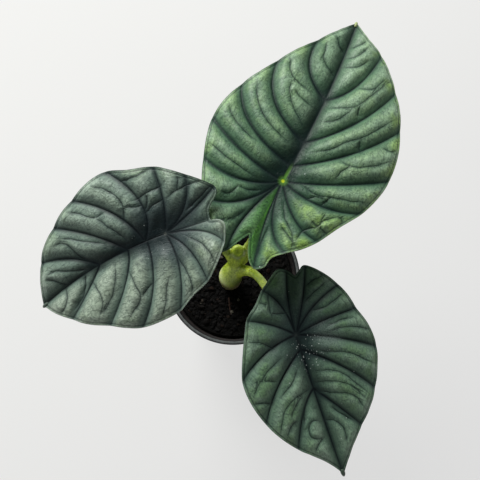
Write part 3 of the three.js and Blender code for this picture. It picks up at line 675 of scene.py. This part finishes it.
def piece_of(bm, name, material, smooth=True):
    """A finished object from a bmesh in metres, with its faces turned outwards."""
    bmesh.ops.recalc_face_normals(bm, faces=bm.faces)
    mesh = bpy.data.meshes.new(name)
    bm.to_mesh(mesh)
    bm.free()
    mesh.materials.append(material)
    if smooth:
        mesh.shade_smooth()
    made = bpy.data.objects.new(name, mesh)
    bpy.context.scene.collection.objects.link(made)
    return made


def stands_for(piece, node):
    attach(piece, "root")
    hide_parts(node)


def settle(piece):
    """Turns what the piece's modifiers make of it into its own mesh."""
    graph = bpy.context.evaluated_depsgraph_get()
    mesh = bpy.data.meshes.new_from_object(piece.evaluated_get(graph))
    piece.modifiers.clear()
    piece.data = mesh
    mesh.shade_smooth()
    return mesh


def turned(profile, sides, weld):
    """A bmesh turned from a profile of radii and heights, closed on its axis."""
    bm = bmesh.new()
    verts = [bm.verts.new((r, 0, z)) for r, z in profile]
    edges = [bm.edges.new(pair) for pair in zip(verts, verts[1:])]
    bmesh.ops.spin(bm, geom=verts + edges, cent=(0, 0, 0), axis=(0, 0, 1), angle=TURN, steps=sides,
                   use_merge=True)
    bmesh.ops.remove_doubles(bm, verts=bm.verts, dist=weld)
    return bm


def wrapped(bm, across, along, place):
    """A grid of cells laid out by place(u, v), which gives a point for each share u and v of it."""
    made = bmesh.ops.create_grid(bm, x_segments=across, y_segments=along, size=0.5)["verts"]
    shares = np.array([vert.co[:2] for vert in made]) + 0.5
    for vert, point in zip(made, place(shares[:, 0], shares[:, 1])):
        vert.co = Vector(point)
    return made, shares


def tube(bm, centres, radii, sides):
    """A round tube through the centres, closed at both ends."""
    centres = [Vector(c) for c in centres]
    frames = []
    across = Vector((1, 0, 0))
    for i in range(len(centres)):
        along = (centres[min(i + 1, len(centres) - 1)] - centres[max(i - 1, 0)]).normalized()
        across = (across - along * across.dot(along)).normalized()
        frames.append((across.copy(), along.cross(across)))

    def place(u, v):
        points = []
        for angle, row in zip(u * TURN, np.rint(v * (len(centres) - 1)).astype(int)):
            first, second = frames[row]
            points.append(centres[row] + (first * cos(angle) + second * sin(angle)) * radii[row])
        return points

    made, _ = wrapped(bm, sides, len(centres) - 1, place)
    bmesh.ops.remove_doubles(bm, verts=made, dist=1e-4)
    open_edges = {edge for vert in made if vert.is_valid for edge in vert.link_edges if edge.is_boundary}
    bmesh.ops.holes_fill(bm, edges=list(open_edges), sides=0)


def blended(a, b, t):
    return a + (b - a) * t


def bell(distance, width):
    """1 at no distance, about a third at the width, and soon nothing."""
    return np.exp(-((distance / width) ** 2))


def bow(start, via, end, t):
    """Points at shares t of the curve from start to end that bends through via."""
    start, via, end = (np.asarray(point, float) for point in (start, via, end))
    pull = 2 * via - (start + end) / 2
    t = np.asarray(t, float)[..., None]
    return (1 - t) ** 2 * start + 2 * t * (1 - t) * pull + t ** 2 * end


def spans(knots, at):
    """The four knots around each knot number, whole or part, and the share of the way between them."""
    knots = np.asarray(knots, float)
    padded = np.vstack([2 * knots[0] - knots[1], knots, 2 * knots[-1] - knots[-2]])
    i = np.minimum(np.floor(at).astype(int), len(knots) - 2)
    return *(padded[i + k] for k in range(4)), (at - i)[..., None]


def through(knots, at):
    """Points of the smooth curve through the knots."""
    a, b, c, d, t = spans(knots, np.asarray(at, float))
    return 0.5 * (2 * b + (c - a) * t + (2 * a - 5 * b + 4 * c - d) * t ** 2
                  + (3 * b - a - 3 * c + d) * t ** 3)


def drawn(knots, count):
    """A soft line that rounds off its knots, with a count of points from one knot to the next."""
    a, b, c, d, t = spans(knots, np.linspace(0, len(knots) - 1, count * (len(knots) - 1) + 1))
    return ((1 - t) ** 3 * a + (3 * t ** 3 - 6 * t * t + 4) * b
            + (3 * t * t + 3 * t + 1 - 3 * t ** 3) * c + t ** 3 * d) / 6


def beside(points, line, reach):
    """How far each point lies from a line, at most the reach, the share along it and its side."""
    distance = np.full(len(points), float(reach))
    share = np.zeros(len(points))
    side = np.ones(len(points))
    close = np.flatnonzero(((points > line.min(0) - reach) & (points < line.max(0) + reach)).all(1))
    step = np.diff(line, axis=0)
    off = points[close, None] - line[None, :-1]
    t = np.clip((off * step).sum(2) / (step ** 2).sum(1), 0, 1)
    gap = np.hypot(*np.moveaxis(off - t[..., None] * step, 2, 0))
    k = gap.argmin(1)
    rows = np.arange(len(close))
    distance[close] = np.minimum(reach, gap[rows, k])
    share[close] = (k + t[rows, k]) / len(step)
    side[close] = np.where(step[k, 0] * off[rows, k, 1] < step[k, 1] * off[rows, k, 0], -1.0, 1.0)
    return distance, share, side


def nearest(points, lines, reach):
    """Distance, share and side of the nearest line, and the distances to all of the lines."""
    found = zip(*(beside(points, line, reach) for line in lines))
    distances, shares, sides = map(np.array, found)
    pick = distances.argmin(0), np.arange(len(points))
    return distances[pick], shares[pick], sides[pick], distances


def quilted(gaps):
    """How far a field has risen, 0 to 1, from the distances to all main veins."""
    return np.prod(1 - np.exp(-(gaps / PILLOW_REACH) ** PILLOW_POWER), axis=0)


class Blade:
    """The plane pattern of one leaf: its veins, its margin and the fields between them."""

    def __init__(self, leaf):
        self.leaf = leaf
        steps = np.linspace(0, 1, 33)
        self.spine = self.midrib(steps)
        self.ribs = [self.spine]
        self.margin = []
        self.halves = []
        for side in ("left", "right"):
            knots = [leaf["tip"], *leaf[side], leaf["notch"]]
            veins = [(1, None, 0), *leaf[side + "_veins"], (0, None, len(knots) - 1)]
            self.halves.append((knots, veins))
            self.ribs += [self.vein(knots, vein, steps) for vein in veins[1:-1]]
            self.margin.append(through(knots, np.linspace(0, len(knots) - 1, 6 * len(knots))))
        if leaf.get("creased"):
            self.ribs.append(blended(np.zeros(2), np.array(leaf["notch"]), steps[:, None]))
        self.twigs = [drawn(line, 7) for line in leaf["twigs"]]
        bearing, droop, roll = (radians(leaf[k]) for k in ("bearing", "droop", "roll"))
        ahead = Vector((cos(bearing), sin(bearing), 0))
        left = Vector((-sin(bearing), cos(bearing), 0))
        up = Vector((0, 0, 1))
        lift = ahead * sin(droop) + up * cos(droop)
        self.axes = np.array([ahead * cos(droop) - up * sin(droop),
                              left * cos(roll) + lift * sin(roll),
                              lift * cos(roll) - left * sin(roll)])

    def midrib(self, share):
        return bow((0, 0), self.leaf["middle"], self.leaf["tip"], share)

    def vein(self, knots, vein, t):
        start, via, stop = vein
        first = self.midrib(start)
        last = np.asarray(knots[stop], float)
        if via is None:
            return blended(first, last, np.asarray(t, float)[..., None])
        return bow(first, via, last, t)

    def field(self, knots, a, b, u, v):
        """A field is ruled from vein a to vein b, and the curves of the midrib and of the margin
        fade out towards the opposite side."""
        u2, v2 = u[:, None], v[:, None]
        ruled, low_chord, high_chord = (blended(self.vein(knots, a, t), self.vein(knots, b, t), u2)
                                        for t in (v, np.zeros(1), np.ones(1)))
        low = self.midrib(blended(a[0], b[0], u))
        high = through(knots, blended(a[2], b[2], u))
        return ruled + (1 - v2) ** 2 * (low - low_chord) + v2 ** 2 * (high - high_chord)

    def form(self, x, y, risen, rim):
        """Height of the upper face, from how far its fields have risen and the distance to the rim."""
        bend = np.where(x > 0, BEND_TIP, BEND_BACK)
        z = FOLD * (np.sqrt(y * y + WAIST * WAIST) - WAIST) - ARCH * y * y - bend * x * x
        z += PILLOW * (MARGIN_SHARE + (1 - MARGIN_SHARE) * np.minimum(1, rim / MARGIN_REACH)) * risen
        for cx, cy, reach, lift in self.leaf.get("curls", ()):
            z += lift * np.exp(-((x - cx) ** 2 + (y - cy) ** 2) / reach ** 2)
        return z

    def at(self, x, y, z):
        """Places in the frame of the plant."""
        return np.array(self.leaf["at"]) + np.stack([x, y, z], -1) @ self.axes


def outwards(v):
    """How far out a row of cells lies: the rows grow closer towards the margin."""
    return v * (1.25 - 0.25 * v)


def sheet_of(blade):
    """Flat sheet of cells for a blade in its own plane. Each corner keeps its number, the way
    along the veins up to it, and how far it is on the strip between the last veins."""
    bm = bmesh.new()
    stride = bm.verts.layers.float.new("stride")
    strip = bm.verts.layers.float.new("strip")
    number = bm.verts.layers.int.new("number")
    for knots, veins in blade.halves:
        for a, b in zip(veins, veins[1:]):
            lines = [blade.vein(knots, vein, np.linspace(0, 1, 9)) for vein in (a, b)]
            lengths = [np.hypot(*np.diff(line, axis=0).T).sum() for line in lines]

            def place(u, v):
                u = u - 0.5 / TURN * np.sin(TURN * u)
                return np.pad(blade.field(knots, a, b, u, outwards(v)), ((0, 0), (0, 1)))

            made, shares = wrapped(bm, ACROSS_TIP if a[0] == 1 else ACROSS, ALONG, place)
            for vert, (u, v) in zip(made, shares):
                vert[stride] = outwards(v) * blended(*lengths, u)
                vert[strip] = u if b is veins[-1] else 0
    bmesh.ops.remove_doubles(bm, verts=bm.verts, dist=SEAM)
    for i, vert in enumerate(bm.verts):
        vert[number] = i
    return bm


def leaf_piece(blade, look):
    """One leaf: the flat sheet is doubled, and both faces are then laid out in the plant's frame."""
    bm = sheet_of(blade)
    plane = np.array([vert.co[:2] for vert in bm.verts])
    made = bmesh.ops.extrude_face_region(bm, geom=bm.faces[:], use_keep_orig=True)["geom"]
    lower = [part for part in made if isinstance(part, bmesh.types.BMVert)]
    bmesh.ops.translate(bm, verts=lower, vec=(0, 0, -1))
    piece = piece_of(bm, look.piece, blade_finish(look.piece + "_finish", look))
    mesh = piece.data

    x, y = plane.T
    rib, share, _, gaps = nearest(plane, blade.ribs, RIB_REACH)
    spine, _, half = beside(plane, blade.spine, SPINE_REACH)
    rim = nearest(plane, blade.margin, RIM_REACH)[0]
    waver = np.stack([np.sin(y * 0.9 + 0.4 * x) + np.sin(0.47 * y - 0.8 * x),
                      np.sin(x * 0.8 - 0.5 * y) + np.sin(0.43 * x + 0.9 * y)], -1)
    twig, twig_share, twig_side, _ = nearest(plane + 0.11 * waver, blade.twigs, TWIG_REACH)
    girth = 1 - share
    sunk = np.clip(0.35 + 4 * np.minimum(twig_share, 1 - twig_share), 0, 1) * (twig < TWIG_REACH - 0.1)

    risen = quilted(gaps)
    crisp = RIB_DEPTH * (0.35 + 0.65 * girth) * bell(rib, 0.5 + 0.5 * girth) * np.clip(rim / 4, 0.2, 1)
    groove = TWIG_DEPTH * bell(twig, 0.8) + TWIG_VALLEY * bell(twig, 2.8)
    groove *= sunk * np.minimum(1, rib / 2.5) * np.minimum(1, rim / 3)
    edge = 0.2 * bell(rim - 1.6, 0.7) - 0.12 * bell(rim, 0.5)
    swell = np.array([noise.noise((px * 0.2, py * 0.2, 4.0)) for px, py in plane])
    top = blade.form(x, y, risen, rim) - crisp - groove - edge + RIPPLE * swell * np.minimum(1, rib / 4)
    thick = SKIN * np.clip(0.55 + rim / 2.5, 0.55, 1)
    thick += 0.9 * girth * bell(rib, 0.7 + 0.9 * girth) + 0.25 * bell(twig, 0.8)

    count = len(mesh.vertices)
    sheet = np.zeros(count * 3)
    mesh.vertices.foreach_get("co", sheet)
    under = sheet.reshape(-1, 3)[:, 2] < -0.5
    number = np.zeros(count, int)
    mesh.attributes["number"].data.foreach_get("value", number)
    places = blade.at(x[number], y[number], top[number] - under * thick[number]) * MM
    mesh.vertices.foreach_set("co", places.ravel())
    fields = {"rib": rib, "girth": girth, "twig": twig, "twig_side": twig * twig_side, "sunk": sunk,
              "rim": rim, "spine": spine * half, "puff": risen * (1 - 0.4 * sunk * bell(twig, 2.2))}
    for name, values in fields.items():
        mesh.attributes.new(name, "FLOAT", "POINT").data.foreach_set("value", values[number])
    mesh.attributes.new("under", "FLOAT", "POINT").data.foreach_set("value", under.astype(float))
    flat = np.pad(plane, ((0, 0), (0, 1)))[number]
    mesh.attributes.new("flat", "FLOAT_VECTOR", "POINT").data.foreach_set("vector", flat.ravel())
    mesh.update()
    stands_for(piece, blade.leaf["name"])


def mucro_piece(blade, look):
    """Short blunt point that ends the midrib."""
    shares = np.linspace(0, 1, 9)
    reach = blade.leaf["tip"][0] - 4 + 5.8 * shares
    drop = -BEND_TIP * reach ** 2 - SKIN / 2 - 1.2 * shares ** 3
    centres = blade.at(reach, 0.4 * shares, drop)
    radii = 1.15 * look.mucro_size * np.sqrt(1.02 - shares ** 2) * (0.55 + 0.45 * np.sin(shares * 2.6))
    bm = bmesh.new()
    tube(bm, centres * MM, radii * MM, 16)
    name = look.piece.replace("blade", "tip")
    stands_for(piece_of(bm, name, mucro_finish(name + "_finish", look)), blade.leaf["name"])


def stalk_curve(blade, shares, rise=0):
    """Points of a stalk from the stem to the underside of its blade, or a little into it."""
    stalk = blade.leaf["stalk"]
    end = -BLADE - GAP
    below, top = (blade.at(0, 0, z) for z in (end - stalk["reach"], end + rise))
    a, b, c, d = (np.asarray(point, float) for point in (stalk["from"], stalk["pull"], below, top))
    t = shares[:, None]
    return (1 - t) ** 3 * a + 3 * (1 - t) ** 2 * t * b + 3 * (1 - t) * t * t * c + t ** 3 * d


def stalk_piece(blade, material):
    """One stalk, which widens a little where it meets its blade."""
    shares = np.linspace(0, 1, 73)
    radii = blended(PETIOLE_BASE_RADIUS, PETIOLE_TOP_RADIUS, shares)
    radii = radii + 1.1 * np.clip((shares - 0.95) / 0.05, 0, 1) ** 2
    bm = bmesh.new()
    tube(bm, stalk_curve(blade, shares, 0.4) * MM, radii * MM, 32)
    stalk = blade.leaf["stalk"]
    stands_for(piece_of(bm, stalk["name"], material), stalk["node"])


def stem_piece(blades, material):
    """Leaning stem with the sheaths that hold the stalks, joined into one smooth skin."""
    bm = bmesh.new()
    sections = through(STEM_SECTIONS, np.linspace(0, len(STEM_SECTIONS) - 1, 60))
    tube(bm, sections[:, :3] * MM, sections[:, 3] * MM, 48)
    for blade in blades:
        shares = np.linspace(0, 0.22, 16)
        radii = blended(PETIOLE_BASE_RADIUS + 1.6, PETIOLE_BASE_RADIUS + 0.3, shares / 0.22)
        tube(bm, stalk_curve(blade, shares) * MM, radii * MM, 24)
    piece = piece_of(bm, "stem_body", material)
    remesh = piece.modifiers.new("join", "REMESH")
    remesh.mode = "VOXEL"
    remesh.voxel_size = STEM_CELL * MM
    smooth = piece.modifiers.new("smooth", "SMOOTH")
    smooth.factor = 0.5
    smooth.iterations = 6
    for vert in settle(piece).vertices:
        x, y, z = vert.co / MM
        if z > CUP_FOOT:
            away = (x - CUP_PLACE[0]) ** 2 + (y - CUP_PLACE[1]) ** 2
            vert.co.z -= CUP_DEPTH * MM * exp(-away / CUP_RADIUS ** 2)
    stands_for(piece, "stem")


def pot_piece():
    """Thin-walled pot: turned lip, band and tapered wall, its edges rounded, its drains cut."""
    lip_foot = POT_HEIGHT - LIP_HEIGHT
    profile = [
        (0, 0), (FOOT_RADIUS - FOOT_CHAMFER, 0), (FOOT_RADIUS, FOOT_CHAMFER),
        (SHOULDER_RADIUS, BAND_FOOT), (BAND_RADIUS - BAND_LEAN, BAND_FOOT + STEP_RISE),
        (BAND_RADIUS, lip_foot), (LIP_RADIUS, lip_foot + LIP_CHAMFER),
        (LIP_RADIUS, POT_HEIGHT - LIP_CHAMFER), (LIP_RADIUS - LIP_CHAMFER, POT_HEIGHT),
        (BAND_RADIUS - WALL, POT_HEIGHT), (BAND_RADIUS - BAND_LEAN - WALL, BAND_FOOT + 2 * STEP_RISE),
        (SHOULDER_RADIUS - WALL, BAND_FOOT - STEP_RISE), (FOOT_RADIUS + FLARE * FLOOR - WALL, FLOOR),
        (0, FLOOR),
    ]
    bm = turned([(r * MM, z * MM) for r, z in profile], POT_SIDES, 1e-6)
    rings = [edge for edge in bm.edges if edge.calc_face_angle(0) > radians(20)
             and abs(edge.verts[0].co.z - edge.verts[1].co.z) < 1e-7]
    bmesh.ops.bevel(bm, geom=rings, offset=EDGE_ROUND * MM, offset_type="OFFSET", affect="EDGES",
                    segments=2, profile=0.5, material=-1, clamp_overlap=True)
    piece = piece_of(bm, "pot_shell", pot_finish())

    holes = bmesh.new()
    for i in range(DRAIN_COUNT):
        angle = i / DRAIN_COUNT * TURN
        place = Vector((DRAIN_CIRCLE * cos(angle), DRAIN_CIRCLE * sin(angle), 1)) * MM
        bmesh.ops.create_cone(holes, cap_ends=True, segments=40, radius1=DRAIN_RADIUS * MM,
                              radius2=DRAIN_RADIUS * MM, depth=12 * MM, matrix=Matrix.Translation(place))
    cutter = piece_of(holes, "drain_cutter", piece.data.materials[0])
    cut = piece.modifiers.new("drains", "BOOLEAN")
    cut.operation = "DIFFERENCE"
    cut.solver = "EXACT"
    cut.object = cutter
    settle(piece).set_sharp_from_angle(angle=radians(38))
    bpy.data.objects.remove(cutter)
    stands_for(piece, "nursery_pot")


def hump(x, y, scale, seed):
    return noise.noise(Vector((x * scale, y * scale, seed)))


def soil_height(x, y):
    """Uneven top of the potting mix."""
    z = MIX_TOP - 0.9 + 1.1 * hump(x, y, 0.06, 3.1) + 0.8 * hump(x, y, 0.19, 7.7)
    return z + 0.45 * hump(x, y, 0.55, 1.3)


def mix_piece():
    """Body of potting mix: a hole for the stem, a rough top and the pot's inside as its outside."""
    low = FLOOR + GAP
    high = BAND_FOOT - 2
    low_radius, outer = (FOOT_RADIUS + FLARE * z - WALL - GAP for z in (low, high))
    edge = outer - MIX_EDGE
    hole_foot = STEM_SECTIONS[0][2] - GAP
    profile = [(0, hole_foot), (STEM_HOLE_RADIUS, hole_foot), (STEM_HOLE_RADIUS, MIX_TOP - 1.2)]
    profile += [(r, MIX_TOP) for r in np.linspace(STEM_HOLE_RADIUS + 0.5, edge, 46)]
    profile += [(outer + 0.1, MIX_TOP - 1.6), (outer, high), (low_radius, low), (0, low)]
    bm = turned(profile, MIX_SIDES, 1e-3)
    for vert in bm.verts:
        radius = hypot(vert.co.x, vert.co.y)
        share = min(1, max(0, (radius - STEM_HOLE_RADIUS) / (edge - STEM_HOLE_RADIUS)))
        if vert.co.z > hole_foot - 1:
            vert.co.x += STEM_PLACE[0] * (1 - share)
            vert.co.y += STEM_PLACE[1] * (1 - share)
        if vert.co.z > MIX_TOP - 0.1:
            vert.co.z = soil_height(vert.co.x, vert.co.y)
        vert.co *= MM
    stands_for(piece_of(bm, "soil_body", soil_finish()), "potting_mix")


def crumbs_piece():
    """Loose fibres, then crumbs and bark chips, over the mix."""
    dice = random.Random(11)
    bm = bmesh.new()
    tint = bm.verts.layers.float.new("tint")

    def spot(reach):
        """A place within the reach that is clear of the stem."""
        while True:
            x, y = dice.uniform(-reach, reach), dice.uniform(-reach, reach)
            from_stem = hypot(x - STEM_PLACE[0], y - STEM_PLACE[1])
            if hypot(x, y) < reach and from_stem > STEM_HOLE_RADIUS + 1:
                return x, y

    for _ in range(FIBRE_COUNT):
        x, y = spot(43)
        length = dice.uniform(4, 11)
        heading = dice.uniform(0, TURN)
        bend = dice.uniform(-0.12, 0.12)
        centres = []
        for _ in range(7):
            centres.append((x, y, soil_height(x, y) + 0.7))
            x += cos(heading) * length / 6
            y += sin(heading) * length / 6
            heading += bend * length / 2
        if max(hypot(cx, cy) for cx, cy, _ in centres) < 46:
            before = len(bm.verts)
            tube(bm, centres, [0.16 + 0.1 * dice.random()] * 7, 5)
            bm.verts.ensure_lookup_table()
            shade = dice.uniform(0.5, 0.98)
            for vert in bm.verts[before:]:
                vert[tint] = shade
    for _ in range(CRUMB_COUNT):
        size = 0.5 + 1.7 * dice.random() ** 2.2
        x, y = spot(46.5 - size)
        spun = Matrix.Rotation(dice.uniform(0, TURN), 4, "Z")
        place = Matrix.Translation((x, y, soil_height(x, y) + size * 0.25)) @ spun
        place = place @ Matrix.Rotation(dice.uniform(-0.5, 0.5), 4, "X")
        length, height = dice.uniform(0.8, 1.7), dice.uniform(0.35, 0.9)
        place = place @ Matrix.Diagonal((size * length, size, size * height, 1))
        made = bmesh.ops.create_icosphere(bm, subdivisions=1, radius=1, matrix=place)["verts"]
        shade = dice.random()
        for vert in made:
            vert.co += Vector([dice.uniform(-0.22, 0.22) * size for _ in range(3)])
            vert.co.z = min(vert.co.z, POT_HEIGHT - 5)
            vert[tint] = shade
    bmesh.ops.scale(bm, vec=(MM, MM, MM), verts=bm.verts)
    stands_for(piece_of(bm, "soil_crumbs", crumb_finish(), smooth=False), "potting_mix")


def twig_piece():
    """Dry twig that lies in the mix before the stem."""
    shares = np.linspace(0, 1, 24)
    line = bow(*TWIG_LINE, shares)
    centres = [(x, y, soil_height(x, y) + 0.9 + 0.3 * sin(9 * s)) for (x, y), s in zip(line, shares)]
    radii = 0.75 - 0.3 * shares + 0.08 * np.sin(shares * 31)
    bm = bmesh.new()
    tube(bm, np.array(centres) * MM, radii * MM, 12)
    stands_for(piece_of(bm, "soil_twig", twig_finish()), "potting_mix")


def stage_floor():
    """A wide round floor that bends up into a low wall."""
    turns = [i / 12 * TURN / 4 for i in range(13)]
    profile = [(0, 0)] + [(FLOOR_REACH + COVE * sin(a), COVE * (1 - cos(a))) for a in turns]
    profile.append((FLOOR_REACH + COVE, WALL_TOP))
    piece_of(turned(profile, FLOOR_SIDES, 1e-5), "floor", floor_finish())


def studio():
    """Camera almost straight above, a dim sky and one large window behind the plant."""
    scene = bpy.context.scene
    camera = bpy.data.cameras.new("camera")
    camera.lens = 45
    camera.sensor_width = 36
    camera.clip_start = 0.01
    across, down = (pixel - PICTURE_SIZE / 2 for pixel in RIM_SEEN)
    ray = Vector((across, -down, -PICTURE_SIZE * camera.lens / camera.sensor_width))
    rim_pixel = 2 * LIP_RADIUS * MM / RIM_SEEN_WIDTH
    seat = bpy.data.objects.new("camera", camera)
    seat.location = Vector((0, 0, POT_HEIGHT * MM))
    seat.location -= Matrix.Rotation(radians(CAMERA_TILT), 3, "X") @ ray * rim_pixel
    seat.rotation_euler = (radians(CAMERA_TILT), 0, 0)
    scene.collection.objects.link(seat)
    scene.camera = seat

    window = bpy.data.lights.new("window", "AREA")
    window.shape = "DISK"
    window.size = WINDOW_SIZE
    window.energy = WINDOW_POWER
    window.color = (1, 1, 0.98)
    hung = bpy.data.objects.new("window", window)
    hung.location = WINDOW_PLACE
    hung.rotation_euler = (Vector(WINDOW_AIM) - Vector(WINDOW_PLACE)).to_track_quat("-Z", "Y").to_euler()
    scene.collection.objects.link(hung)

    world = bpy.data.worlds.new("studio")
    world.use_nodes = True
    sky = world.node_tree.nodes["Background"].inputs
    sky["Color"].default_value = (0.93, 0.96, 1, 1)
    sky["Strength"].default_value = SKY
    scene.world = world
    scene.view_settings.view_transform = "Standard"


blades = [Blade(leaf) for leaf in LEAVES]
studio()
stage_floor()
pot_piece()
mix_piece()
crumbs_piece()
twig_piece()
stem_piece(blades, stalk_finish("stem_skin_finish", sheath=True))
stalk_skin = stalk_finish("stalk_skin_finish")
for blade in blades:
    stalk_piece(blade, stalk_skin)
for i, blade in enumerate(blades):
    look = SimpleNamespace(**{key: values[i] for key, values in BLADE_LOOKS.items()})
    leaf_piece(blade, look)
    mucro_piece(blade, look)
